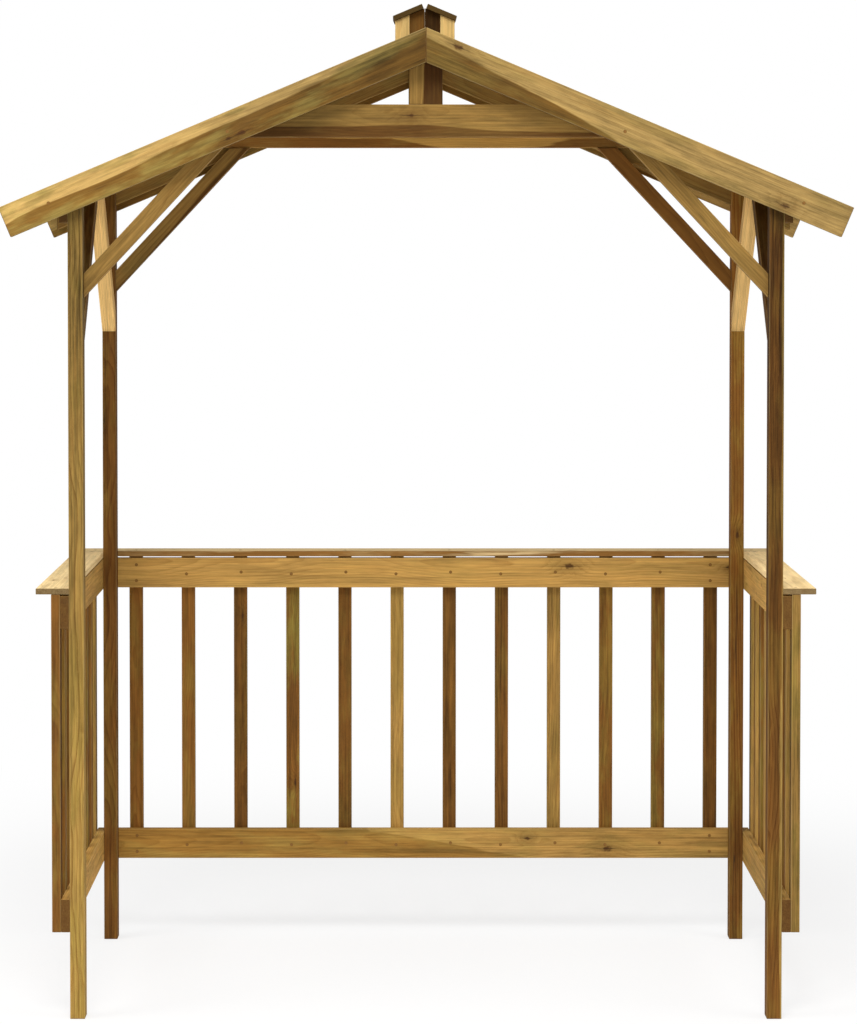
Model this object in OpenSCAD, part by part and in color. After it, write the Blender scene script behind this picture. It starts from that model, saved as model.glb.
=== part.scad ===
// Free-standing timber barbecue shelter: four posts, a pitched plank roof with a
// smoke chimney on the ridge, and a slatted counter round three sides.
// Millimetres. X is the width, the open front faces -Y, Z is up from the ground.

/* [Frame] */
// Width over the outer faces of the posts
post_span = 1680; // [1500:10:1800]
// Post size across the width
post_width = 35; // [30:1:50]
// Post size from front to back
post_depth = 45; // [40:1:60]
// Depth from the front posts' front faces to the back posts' back faces
frame_depth = 900; // [750:10:1100]

/* [Roof] */
// Width over both eaves
roof_width = 2000; // [1900:10:2200]
// Height of the ridge above the ground
ridge_height = 2335; // [2250:5:2500]
// Slope of the roof from level, in degrees
roof_pitch = 22.8; // [20:0.1:26]
// Thickness of the roof planks
deck_thickness = 15; // [12:1:20]
// Width of each roof plank up the slope
plank_width = 90; // [70:1:120]
// Width of the open joint line between two planks
plank_joint_width = 3; // [2:0.5:5]
// Depth of the joint line in each face of the roof
plank_joint_depth = 3; // [1:0.5:4]
// Depth of the rafters below the planks
rafter_depth = 45; // [35:1:55]
// Thickness of the rafters, which are housed in the posts' outer faces
rafter_thickness = 20; // [16:1:26]
// Distance that the rafters stop short of the eave
rafter_setback = 40; // [20:5:80]
// Width of the bargeboards, from their top edge to their lower edge
bargeboard_width = 75; // [65:1:95]
// Thickness of the bargeboards
bargeboard_thickness = 20; // [16:1:26]

/* [Gable] */
// Drop from the ridge down to the collar tie's top edge
collar_drop = 178; // [160:1:210]
// Depth of the collar tie
collar_depth = 77; // [60:1:95]
// Thickness of the collar tie and of the king post
tie_thickness = 20; // [16:1:28]
// Width of the king post
king_post_width = 78; // [50:1:100]

/* [Braces] */
// Depth of the braces in the plane that they stiffen
brace_depth = 38; // [30:1:50]
// Thickness of the cross braces, which lap the rafters on the room side
cross_brace_thickness = 25; // [18:1:35]
// Slope of the cross braces from level, in degrees
cross_brace_angle = 47; // [42:1:50]
// Drop from the post's top inner corner down to the cross braces' lower tip
cross_brace_drop = 277; // [220:1:350]
// Slope of the side braces from level, in degrees
side_brace_angle = 45; // [42:1:55]
// Drop from the eave beams' outer top edge down to the side braces' lower tip
side_brace_drop = 357; // [300:1:390]
// Thickness of the eave beams
eave_beam_thickness = 20; // [16:1:28]
// Depth of the eave beams at their outer face
eave_beam_depth = 78; // [60:1:95]

/* [Counter] */
// Thickness of the rails
rail_thickness = 21; // [16:1:28]
// Depth of the rails
rail_depth = 78; // [60:1:95]
// Height of the bottom rails' lower edge
bottom_rail_height = 206; // [150:1:260]
// Height of the top rails' lower edge
top_rail_height = 924; // [850:1:1000]
// Width of each slat
slat_width = 35; // [30:1:45]
// Thickness of each slat
slat_thickness = 21; // [16:1:28]
// Number of slats along the back
back_slat_count = 12; // [8:1:14]
// Number of slats along each side
side_slat_count = 9; // [5:1:10]
// Gap from a back post's inner face to the first back slat
back_slat_margin = 28; // [20:1:60]
// Rise of the slat tops over the top rail, which lifts the shelf off the rail
slat_rise = 4; // [2:1:10]
// Width of the shelf boards
shelf_width = 78; // [70:1:110]
// Thickness of the shelf boards
shelf_thickness = 14; // [12:1:22]

/* [Chimney] */
// Width of the chimney over its studs
chimney_width = 146; // [130:1:180]
// Depth of the chimney over its studs
chimney_depth = 146; // [130:1:180]
// Size of the square studs
chimney_stud = 35; // [28:1:40]
// Rise of the chimney's peak over the ridge of the roof
chimney_rise = 87; // [75:1:130]
// Thickness of the chimney panels
panel_thickness = 12; // [9:1:15]
// Set-back of the panels behind the studs' outer faces
panel_recess = 10; // [5:1:15]
// Open joint between the two boards of the front panel and of the back panel
panel_joint = 1; // [0.5:0.5:3]
// Thickness of the cap boards
cap_thickness = 12; // [9:1:16]
// Overhang of the cap boards past the studs
cap_overhang = 6; // [3:1:20]
// Width of the smoke slot between the cap boards
cap_slot = 15; // [8:1:25]

/* [Hidden] */
$fn = 32;
post_outer = post_span / 2;
post_inner = post_outer - post_width;
front_y = -(frame_depth + shelf_width - bargeboard_thickness) / 2;
back_y = front_y + frame_depth;
mid_y = front_y + frame_depth / 2;
eave_run = roof_width / 2 / cos(roof_pitch);
rafter_under = deck_thickness + rafter_depth;
rail_outer = post_outer + rail_thickness;
slat_bottom = bottom_rail_height;
slat_top = top_rail_height + rail_depth + slat_rise;
back_slat_run = 2 * post_inner - 2 * back_slat_margin - slat_width;
back_slat_pitch = back_slat_run / (back_slat_count - 1);
side_slat_pitch = (frame_depth - slat_width) / (side_slat_count - 1);
plank_count = floor(eave_run / plank_width);
brace_plumb = brace_depth / cos(cross_brace_angle);
cross_brace_foot = under_roof(post_inner, deck_thickness) - cross_brace_drop;
beam_outer = post_outer + eave_beam_thickness;
beam_top = under_roof(beam_outer, deck_thickness);
rafter_end = roof_width / 2 - rafter_setback;
tie_top = ridge_height - collar_drop;
tie_bottom = tie_top - collar_depth;
tie_y = front_y + rafter_thickness;
stud_inner_x = chimney_width / 2 - chimney_stud;
stud_inner_y = chimney_depth / 2 - chimney_stud;
cap_peak = ridge_height + chimney_rise;
cut_clear = 200;

wood = [0.72, 0.55, 0.32];
wood_dark = [0.48, 0.33, 0.18];
wood_pale = [0.84, 0.72, 0.50];

// A point on the right-hand roof slope: run down the slope, depth below its face.
function slope_point(run, depth) = [
  run * cos(roof_pitch) - depth * sin(roof_pitch),
  ridge_height - run * sin(roof_pitch) - depth * cos(roof_pitch)
];

// Height of the line that lies a set depth below the roof's face, at a width x.
function under_roof(x, depth) = ridge_height - depth / cos(roof_pitch) - x * tan(roof_pitch);

// Height of a cap board's plane, a set depth below its top face, at a width x.
function under_cap(x, depth) = cap_peak - depth / cos(roof_pitch) - x * tan(roof_pitch);

// Extrudes a profile drawn in width and height from one depth to another.
module across(from_y, to_y) {
  translate([0, to_y, 0]) rotate([90, 0, 0]) linear_extrude(height = to_y - from_y) children();
}

// Extrudes a profile drawn in depth and height from one width to another.
module along(from_x, to_x) {
  translate([from_x, 0, 0]) rotate([90, 0, 90]) linear_extrude(height = to_x - from_x) children();
}

module on_left() {
  mirror([1, 0, 0]) children();
}

module on_back() {
  translate([0, 2 * mid_y, 0]) mirror([0, 1, 0]) children();
}

// A board that runs down the slope between two depths, plumb at the ridge and
// cut square at the eave.
module slope_profile(top, bottom) {
  polygon([
    [0, under_roof(0, top)],
    slope_point(eave_run, top),
    slope_point(eave_run, bottom),
    [0, under_roof(0, bottom)]
  ]);
}

// All that lies under the roof planks, between two depths.
module under_planks(from_y, to_y) {
  across(from_y, to_y) polygon([
    [0, 0],
    [roof_width / 2, 0],
    [roof_width / 2, under_roof(roof_width / 2, deck_thickness)],
    [0, under_roof(0, deck_thickness)]
  ]);
}

// The housing that a front rafter takes out of the pieces that carry it.
module rafter_housing() {
  across(front_y - cut_clear, front_y + rafter_thickness) polygon([
    [0, under_roof(0, rafter_under)],
    [roof_width / 2, under_roof(roof_width / 2, rafter_under)],
    [roof_width / 2, ridge_height],
    [0, ridge_height]
  ]);
}

// Posts stand plumb, run up to the roof planks and are housed for the rafters.
module post() {
  difference() {
    across(front_y, front_y + post_depth) polygon([
      [post_inner, 0],
      [post_outer, 0],
      [post_outer, under_roof(post_outer, deck_thickness)],
      [post_inner, under_roof(post_inner, deck_thickness)]
    ]);
    rafter_housing();
  }
}

// Rafters lie in the posts' housings, plumb at the ridge and plumb behind the eave.
module rafter() {
  across(front_y, front_y + rafter_thickness) polygon([
    [0, under_roof(0, deck_thickness)],
    [rafter_end, under_roof(rafter_end, deck_thickness)],
    [rafter_end, under_roof(rafter_end, rafter_under)],
    [0, under_roof(0, rafter_under)]
  ]);
}

// Bargeboards cover the rafters and the ends of the roof planks.
module bargeboard() {
  across(front_y - bargeboard_thickness, front_y) slope_profile(0, bargeboard_width);
}

// The collar tie crosses the rafters on the room side, with ends cut to the roof.
module collar_tie() {
  top_reach = (under_roof(0, deck_thickness) - tie_top) / tan(roof_pitch);
  bottom_reach = (under_roof(0, deck_thickness) - tie_bottom) / tan(roof_pitch);
  across(tie_y, tie_y + tie_thickness) polygon([
    [-bottom_reach, tie_bottom],
    [bottom_reach, tie_bottom],
    [top_reach, tie_top],
    [-top_reach, tie_top]
  ]);
}

// The king post stands on the collar tie and is pointed into the ridge.
module king_post() {
  half = king_post_width / 2;
  across(tie_y, tie_y + tie_thickness) polygon([
    [-half, tie_top],
    [half, tie_top],
    [half, under_roof(half, deck_thickness)],
    [0, under_roof(0, deck_thickness)],
    [-half, under_roof(half, deck_thickness)]
  ]);
}

// A cross brace is cut plumb against the post, laps the rafter on the room side
// and butts level under the collar tie.
module cross_brace() {
  rise = tie_bottom - cross_brace_foot;
  intersection() {
    across(tie_y, tie_y + cross_brace_thickness) polygon([
      [post_inner, cross_brace_foot],
      [post_inner, cross_brace_foot + brace_plumb],
      [post_inner - (rise - brace_plumb) / tan(cross_brace_angle), tie_bottom],
      [post_inner - rise / tan(cross_brace_angle), tie_bottom]
    ]);
    under_planks(front_y, mid_y);
  }
}

// A side brace is cut plumb against the post, laps the eave beam on the room side
// and runs up to the roof planks.
module side_brace() {
  foot_y = front_y + post_depth;
  foot_z = beam_top - side_brace_drop;
  plumb = brace_depth / cos(side_brace_angle);
  rise = ridge_height - foot_z;
  intersection() {
    along(post_inner, post_outer) polygon([
      [foot_y, foot_z],
      [foot_y + rise / tan(side_brace_angle), ridge_height],
      [foot_y + (rise - plumb) / tan(side_brace_angle), ridge_height],
      [foot_y, foot_z + plumb]
    ]);
    under_planks(front_y, mid_y);
  }
}

// Eave beams run along the posts' outer faces, bevelled under the roof planks and
// housed for the rafters at both ends.
module eave_beam() {
  difference() {
    across(front_y, back_y) polygon([
      [post_outer, beam_top - eave_beam_depth],
      [beam_outer, beam_top - eave_beam_depth],
      [beam_outer, beam_top],
      [post_outer, under_roof(post_outer, deck_thickness)]
    ]);
    rafter_housing();
    on_back() rafter_housing();
  }
}

// One open joint line, cut into one face of the roof boards.
module joint_line(run, from_depth, to_depth) {
  half = plank_joint_width / 2;
  polygon([
    slope_point(run - half, from_depth),
    slope_point(run + half, from_depth),
    slope_point(run + half, to_depth),
    slope_point(run - half, to_depth)
  ]);
}

// Roof planks run from front to back over both pairs of rafters. The ridge is cut
// away inside the chimney to let the smoke out.
module roof_boards() {
  difference() {
    across(front_y, back_y) difference() {
      slope_profile(0, deck_thickness);
      for (i = [1 : plank_count]) {
        joint_line(i * plank_width, -plank_joint_depth, plank_joint_depth);
        joint_line(i * plank_width, deck_thickness - plank_joint_depth,
          deck_thickness + plank_joint_depth);
      }
    }
    translate([-stud_inner_x, mid_y - stud_inner_y, ridge_height - cut_clear])
      cube([2 * stud_inner_x, 2 * stud_inner_y, 2 * cut_clear]);
  }
}

module side_rail(height) {
  translate([post_outer, front_y, height]) cube([rail_thickness, frame_depth, rail_depth]);
}

module back_rail(height) {
  translate([-rail_outer, back_y, height]) cube([2 * rail_outer, rail_thickness, rail_depth]);
}

module side_slats() {
  for (i = [0 : side_slat_count - 1])
    translate([rail_outer, front_y + i * side_slat_pitch, slat_bottom])
      cube([slat_thickness, slat_width, slat_top - slat_bottom]);
}

module back_slats() {
  for (i = [0 : back_slat_count - 1])
    translate([-back_slat_run / 2 + i * back_slat_pitch - slat_width / 2,
        back_y + rail_thickness, slat_bottom])
      cube([slat_width, slat_thickness, slat_top - slat_bottom]);
}

module side_shelf() {
  translate([post_outer, front_y, slat_top]) cube([shelf_width, frame_depth, shelf_thickness]);
}

// The back shelf runs past both side shelves, whose ends butt against it.
module back_shelf() {
  translate([-post_outer - shelf_width, back_y, slat_top])
    cube([2 * (post_outer + shelf_width), shelf_width, shelf_thickness]);
}

// Outline of a chimney wall: on the roof slopes below, under the cap boards above.
module chimney_profile(from_x, to_x) {
  polygon([
    [from_x, under_roof(from_x, 0)],
    [to_x, under_roof(to_x, 0)],
    [to_x, under_cap(to_x, cap_thickness)],
    [from_x, under_cap(from_x, cap_thickness)]
  ]);
}

// Corner studs of the chimney, scribed to the roof and to the cap.
module chimney_studs() {
  color(wood_pale) for (side = [0, 1], end = [0, 1])
    mirror([side, 0, 0]) translate([0, mid_y, 0]) mirror([0, end, 0])
      across(stud_inner_y, stud_inner_y + chimney_stud)
        chimney_profile(stud_inner_x, chimney_width / 2);
}

// Panels between the studs: two boards in the front and in the back, one in each side.
module chimney_panels() {
  front_panel = chimney_depth / 2 - panel_recess;
  side_panel = chimney_width / 2 - panel_recess;
  color(wood_dark) for (side = [0, 1], end = [0, 1])
    mirror([side, 0, 0]) translate([0, mid_y, 0]) mirror([0, end, 0])
      across(front_panel - panel_thickness, front_panel)
        chimney_profile(panel_joint / 2, stud_inner_x);
  color(wood_dark) for (side = [0, 1])
    mirror([side, 0, 0]) translate([0, mid_y, 0])
      across(-stud_inner_y, stud_inner_y)
        chimney_profile(side_panel - panel_thickness, side_panel);
}

// A cap board lies on the studs at the roof's own pitch.
module chimney_cap() {
  reach = chimney_width / 2 + cap_overhang;
  length = chimney_depth / 2 + cap_overhang;
  run_to_slot = cap_slot / 2 / cos(roof_pitch);
  run_to_edge = reach / cos(roof_pitch);
  translate([0, mid_y, cap_peak]) rotate([0, roof_pitch, 0])
    translate([run_to_slot, -length, -cap_thickness])
      cube([run_to_edge - run_to_slot, 2 * length, cap_thickness]);
}

module post_front_right() { color(wood_dark) post(); }
module post_front_left() { color(wood) on_left() post(); }
module post_back_right() { color(wood_dark) on_back() post(); }
module post_back_left() { color(wood_dark) on_back() on_left() post(); }
module rafter_front_right() { color(wood) rafter(); }
module rafter_front_left() { color(wood) on_left() rafter(); }
module rafter_back_right() { color(wood) on_back() rafter(); }
module rafter_back_left() { color(wood) on_back() on_left() rafter(); }
module bargeboard_front_right() { color(wood) bargeboard(); }
module bargeboard_front_left() { color(wood) on_left() bargeboard(); }
module bargeboard_back_right() { color(wood) on_back() bargeboard(); }
module bargeboard_back_left() { color(wood) on_back() on_left() bargeboard(); }
module collar_tie_front() { color(wood) collar_tie(); }
module collar_tie_back() { color(wood) on_back() collar_tie(); }
module king_post_front() { color(wood_dark) king_post(); }
module king_post_back() { color(wood_dark) on_back() king_post(); }
module cross_brace_front_right() { color(wood) cross_brace(); }
module cross_brace_front_left() { color(wood) on_left() cross_brace(); }
module cross_brace_back_right() { color(wood) on_back() cross_brace(); }
module cross_brace_back_left() { color(wood) on_back() on_left() cross_brace(); }
module side_brace_front_right() { color(wood) side_brace(); }
module side_brace_front_left() { color(wood) on_left() side_brace(); }
module side_brace_back_right() { color(wood) on_back() side_brace(); }
module side_brace_back_left() { color(wood) on_back() on_left() side_brace(); }
module eave_beam_right() { color(wood) eave_beam(); }
module eave_beam_left() { color(wood) on_left() eave_beam(); }
module roof_boards_right() { color(wood) roof_boards(); }
module roof_boards_left() { color(wood) on_left() roof_boards(); }
module rail_top_right() { color(wood) side_rail(top_rail_height); }
module rail_top_left() { color(wood) on_left() side_rail(top_rail_height); }
module rail_top_back() { color(wood) back_rail(top_rail_height); }
module rail_bottom_right() { color(wood) side_rail(bottom_rail_height); }
module rail_bottom_left() { color(wood) on_left() side_rail(bottom_rail_height); }
module rail_bottom_back() { color(wood) back_rail(bottom_rail_height); }
module slats_right() { color(wood_dark) side_slats(); }
module slats_left() { color(wood_dark) on_left() side_slats(); }
module slats_back() { color(wood_dark) back_slats(); }
module shelf_right() { color(wood_pale) side_shelf(); }
module shelf_left() { color(wood_pale) on_left() side_shelf(); }
module shelf_back() { color(wood_pale) back_shelf(); }
module chimney_cap_right() { color(wood) chimney_cap(); }
module chimney_cap_left() { color(wood) on_left() chimney_cap(); }

post_front_left();
post_front_right();
post_back_left();
post_back_right();
rafter_front_left();
rafter_front_right();
rafter_back_left();
rafter_back_right();
bargeboard_front_left();
bargeboard_front_right();
bargeboard_back_left();
bargeboard_back_right();
collar_tie_front();
collar_tie_back();
king_post_front();
king_post_back();
cross_brace_front_left();
cross_brace_front_right();
cross_brace_back_left();
cross_brace_back_right();
side_brace_front_left();
side_brace_front_right();
side_brace_back_left();
side_brace_back_right();
eave_beam_left();
eave_beam_right();
roof_boards_left();
roof_boards_right();
rail_top_left();
rail_top_right();
rail_top_back();
rail_bottom_left();
rail_bottom_right();
rail_bottom_back();
slats_left();
slats_right();
slats_back();
shelf_left();
shelf_right();
shelf_back();
chimney_studs();
chimney_panels();
chimney_cap_left();
chimney_cap_right();
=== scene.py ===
import itertools
import math

import bmesh
import bpy
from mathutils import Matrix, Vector


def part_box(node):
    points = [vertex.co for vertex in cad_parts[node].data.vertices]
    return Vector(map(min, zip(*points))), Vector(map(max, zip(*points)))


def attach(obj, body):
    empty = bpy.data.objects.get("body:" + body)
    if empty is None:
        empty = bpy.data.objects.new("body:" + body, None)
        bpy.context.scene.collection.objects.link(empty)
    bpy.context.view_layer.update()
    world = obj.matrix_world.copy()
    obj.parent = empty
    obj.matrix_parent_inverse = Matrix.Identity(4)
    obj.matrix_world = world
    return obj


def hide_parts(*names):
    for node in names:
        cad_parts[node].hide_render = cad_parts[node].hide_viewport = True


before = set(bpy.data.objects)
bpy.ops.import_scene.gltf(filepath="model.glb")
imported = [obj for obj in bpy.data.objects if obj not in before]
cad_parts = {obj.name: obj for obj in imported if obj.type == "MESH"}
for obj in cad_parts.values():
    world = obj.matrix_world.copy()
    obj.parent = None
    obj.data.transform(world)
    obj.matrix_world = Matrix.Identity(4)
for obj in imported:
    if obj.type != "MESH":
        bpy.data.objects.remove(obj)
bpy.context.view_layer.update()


# ---------------------------------------------------------------- Posts
# Four softwood posts, planed and pressure treated, brown over the green of the
# treatment. They stand on the ground, run up to the roof planks and are housed at
# the top for the rafters.

ROOF_PITCH = math.radians(22.8)
RIDGE_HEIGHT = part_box("bargeboard_front_left")[1].z
PLANK_THICKNESS = 0.015
RAFTER_UNDER = 0.060        # from the planks' upper face down to the rafters' lower edge


def roof_height(x, depth, peak=RIDGE_HEIGHT):
    """Height, at a width x, of the line a set depth square below the roof's face."""
    return peak - depth / math.cos(ROOF_PITCH) - abs(x) * math.tan(ROOF_PITCH)


def stain(code):
    """A colour written as on a paint chart, in the linear values of a shader."""
    parts = [int(code[i:i + 2], 16) / 255 for i in (1, 3, 5)]
    return [p / 12.92 if p <= 0.04045 else ((p + 0.055) / 1.055) ** 2.4 for p in parts] + [1.0]


def put(tree, kind, feeds=(), **settings):
    """Places a node, and feeds its sockets from values or from other nodes."""
    node = tree.nodes.new(kind)
    for key, value in settings.items():
        setattr(node, key, value)
    for key, value in dict(feeds).items():
        if isinstance(value, bpy.types.NodeSocket):
            tree.links.new(value, node.inputs[key])
        else:
            node.inputs[key].default_value = value
    return node


def tree_of(*values):
    """The node tree that the first socket among some values belongs to."""
    return next(value.id_data for value in values if isinstance(value, bpy.types.NodeSocket))


def reckon(operation, *values):
    return put(tree_of(*values), "ShaderNodeMath", enumerate(values), operation=operation).outputs[0]


def plus(one, other):
    return reckon("ADD", one, other)


def minus(one, other):
    return reckon("SUBTRACT", one, other)


def times(one, other):
    return reckon("MULTIPLY", one, other)


def scaled(value, factor, base):
    """The value times a factor, added to a base."""
    return reckon("MULTIPLY_ADD", value, factor, base)


def split(vector):
    return put(tree_of(vector), "ShaderNodeSeparateXYZ", {0: vector}).outputs


def chance(number):
    """A chance value and a chance colour, the same each time for the same number."""
    return put(tree_of(number), "ShaderNodeTexWhiteNoise", {"W": number}, noise_dimensions="1D").outputs


def fade(value, start, stop):
    """0 at start and 1 at stop, smooth between them."""
    feeds = {0: value, 1: start, 2: stop}
    return put(tree_of(value), "ShaderNodeMapRange", feeds, interpolation_type="SMOOTHSTEP").outputs[0]


def tint(amount, colour, other, how="MIX"):
    """A colour taken some way towards another, or darkened by it."""
    feeds = {0: amount, 6: colour, 7: other}
    tree = tree_of(amount, colour, other)
    return put(tree, "ShaderNodeMix", feeds, data_type="RGBA", blend_type=how).outputs[2]


def figure(grain, stretch, detail=2.0, roughness=0.5):
    """Noise in the board's own directions, stretched by repeats in a metre."""
    tree = tree_of(grain)
    spread = put(tree, "ShaderNodeVectorMath", {0: grain, 1: stretch}, operation="MULTIPLY")
    feeds = {"Vector": spread.outputs[0], "Scale": 1.0, "Detail": detail, "Roughness": roughness}
    return put(tree, "ShaderNodeTexNoise", feeds).outputs[0]


def new_group(name, inputs, outputs, sort="ShaderNodeTree"):
    """An empty group of nodes. Each input is given by its name and first value, or
    by its kind where it has no first value, and each output by its kind."""
    kinds = {int: "Int", float: "Float", tuple: "Vector", list: "Color"}
    tree = bpy.data.node_groups.new(name, sort)
    for sockets, way in ((inputs, "INPUT"), (outputs, "OUTPUT")):
        for label, value in sockets.items():
            kind = value if isinstance(value, str) else kinds[type(value)]
            socket = tree.interface.new_socket(label, in_out=way, socket_type="NodeSocket" + kind)
            if not isinstance(value, str):
                socket.default_value = value
    return tree, tree.nodes.new("NodeGroupInput").outputs, tree.nodes.new("NodeGroupOutput").inputs


def give(made, *values):
    """Hands a group's results to its outputs, in their order."""
    for socket, value in zip(made, values):
        tree_of(value).links.new(value, socket)


def branch_knots():
    """Knots: one in some stretches of the board and one where the board says, each
    with a dark core, a drying crack along the grain and a swirl round it."""
    tree, given, made = new_group(
        "branch_knots",
        {"Grain": (0, 0, 0), "Half": (0, 0, 0), "Placed": (0, 0, 0), "Seed": 0.0, "Share": 0.3,
         "Stretch": 0.37},
        {"Knot": "Float", "Rim": "Float", "Swirl": "Float"})
    along, across, _ = split(given["Grain"])
    half_width = split(given["Half"])[1]
    place = plus(reckon("DIVIDE", along, given["Stretch"]), given["Seed"])
    stretch = reckon("FLOOR", place)
    dice = chance(stretch)
    first, second, third = put(tree, "ShaderNodeSeparateColor", {0: dice["Color"]}).outputs
    run = times(minus(minus(place, stretch), scaled(first, 0.3, 0.35)), given["Stretch"])
    rise = minus(across, times(times(minus(second, 0.5), 1.3), half_width))
    radius = scaled(third, 0.0030, 0.0022)
    there = reckon("LESS_THAN", dice["Value"], given["Share"])
    at, up, size = split(given["Placed"])
    known = reckon("GREATER_THAN", size, 0.0001)
    ragged = minus(figure(given["Grain"], (110, 170, 170), 3.0), 0.5)
    found = []
    for run, rise, radius, there in (
            (run, rise, radius, there),
            (minus(along, at), minus(across, up), reckon("MAXIMUM", size, 0.0001), known)):
        slit = fade(reckon("ABSOLUTE", scaled(ragged, 0.004, rise)), 0.0015, 0.0004)
        tip = reckon("DIVIDE", reckon("ABSOLUTE", run), radius)
        slit = times(slit, fade(tip, 8.0, 2.0))
        oval = times(run, 0.5)
        reach = reckon("SQRT", plus(times(oval, oval), times(rise, rise)))
        reach = reckon("DIVIDE", reach, radius)
        reach = reckon("MAXIMUM", scaled(ragged, 2.2, reach), 0.0)
        masks = (fade(reach, 1.5, 0.5), slit, fade(reach, 7.0, 0.6))
        found.append([times(mask, there) for mask in masks])
    give(made, *(reckon("MAXIMUM", one, other) for one, other in zip(*found)))
    return tree


def growth_rings():
    """Rings round a pith that lies outside the board and wanders along it, and a
    chance value for each year."""
    tree, given, made = new_group(
        "growth_rings", {"Grain": (0, 0, 0), "Seed": 0.0, "Swirl": 0.0, "Ring Width": 0.0045},
        {"Latewood": "Float", "Year": "Float"})
    along, across, deep = split(given["Grain"])
    dice = chance(given["Seed"])
    first, second, _ = put(tree, "ShaderNodeSeparateColor", {0: dice["Color"]}).outputs
    line = put(tree, "ShaderNodeCombineXYZ", {0: along, 1: given["Seed"], 2: 0.0}).outputs[0]
    wander = minus(figure(line, (1.6, 9.7, 1.0)), 0.5)
    pith_across = scaled(minus(first, 0.5), 0.13, times(wander, 0.06))
    pith_deep = plus(scaled(second, 0.06, 0.018), times(wander, 0.05))
    aside = reckon("POWER", minus(across, pith_across), 2.0)
    below = reckon("POWER", minus(deep, pith_deep), 2.0)
    unrest = minus(figure(given["Grain"], (3.0, 22, 22), 3.0), 0.5)
    radius = plus(reckon("SQRT", plus(aside, below)), times(along, 0.010))
    radius = plus(radius, times(unrest, 0.010))
    radius = plus(radius, times(given["Swirl"], 0.009))
    turns = reckon("DIVIDE", radius, given["Ring Width"])
    part = reckon("FRACT", turns)
    late = times(reckon("POWER", part, 2.6), fade(part, 1.0, 0.90))
    year = chance(reckon("FLOOR", turns))["Value"]
    give(made, times(late, scaled(year, 0.6, 0.6)), year)
    return tree


def sawn_surface():
    """Fibres, veins, streaks and mottle, patches of green, drying checks, a painted
    highlight along the arrises, soaked ends and grime. The grain's figure is given moved for each board."""
    tree, given, made = new_group(
        "sawn_surface", {"Grain": (0, 0, 0), "Half": (0, 0, 0), "Figure": (0, 0, 0), "Checks": 0.5},
        dict.fromkeys(("Fibre", "Vein", "Streak", "Mottle", "Patch", "Check", "Arris", "End", "Grime"),
                      "Float"))
    grain = given["Figure"]
    fibre = figure(grain, (9, 520, 520), 3.0, 0.6)
    vein = figure(grain, (4.0, 230, 230), 3.0, 0.6)
    streak = figure(grain, (2.6, 48, 48), 4.0, 0.6)
    mottle = fade(figure(grain, (12, 60, 60), 4.0, 0.65), 0.30, 0.70)
    patch = fade(figure(grain, (4.5, 17, 17), 4.0, 0.65), 0.44, 0.64)
    crack = reckon("ABSOLUTE", minus(figure(grain, (1.8, 115, 115), 1.0), 0.5))
    open_here = fade(figure(grain, (1.4, 30, 30)), 0.60, 0.68)
    check = times(times(fade(crack, 0.018, 0.004), open_here), given["Checks"])
    inside = put(tree, "ShaderNodeVectorMath", {0: given["Grain"]}, operation="ABSOLUTE").outputs[0]
    inside = put(tree, "ShaderNodeVectorMath", {0: given["Half"], 1: inside}, operation="SUBTRACT")
    from_end, from_edge, from_face = split(inside.outputs[0])
    lower, higher = reckon("MINIMUM", from_edge, from_face), reckon("MAXIMUM", from_edge, from_face)
    from_arris = reckon("MAXIMUM", lower, reckon("MINIMUM", higher, from_end))
    wavy = times(figure(grain, (12, 60, 60), 3.0), 0.0045)
    # Arris: a lighter band along each edge, a painted highlight.
    arris = fade(plus(from_arris, wavy), 0.0042, 0.0022)
    ragged = times(figure(grain, (6, 130, 130), 2.0), 0.05)
    soaked = times(fade(plus(from_end, ragged), 0.045, 0.018), 0.25)
    end = reckon("MAXIMUM", fade(from_end, 0.0016, 0.0004), soaked)
    grime = fade(figure(grain, (5, 34, 34), 4.0, 0.7), 0.50, 0.72)
    give(made, fibre, vein, streak, mottle, patch, check, arris, end, grime)
    return tree


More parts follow.
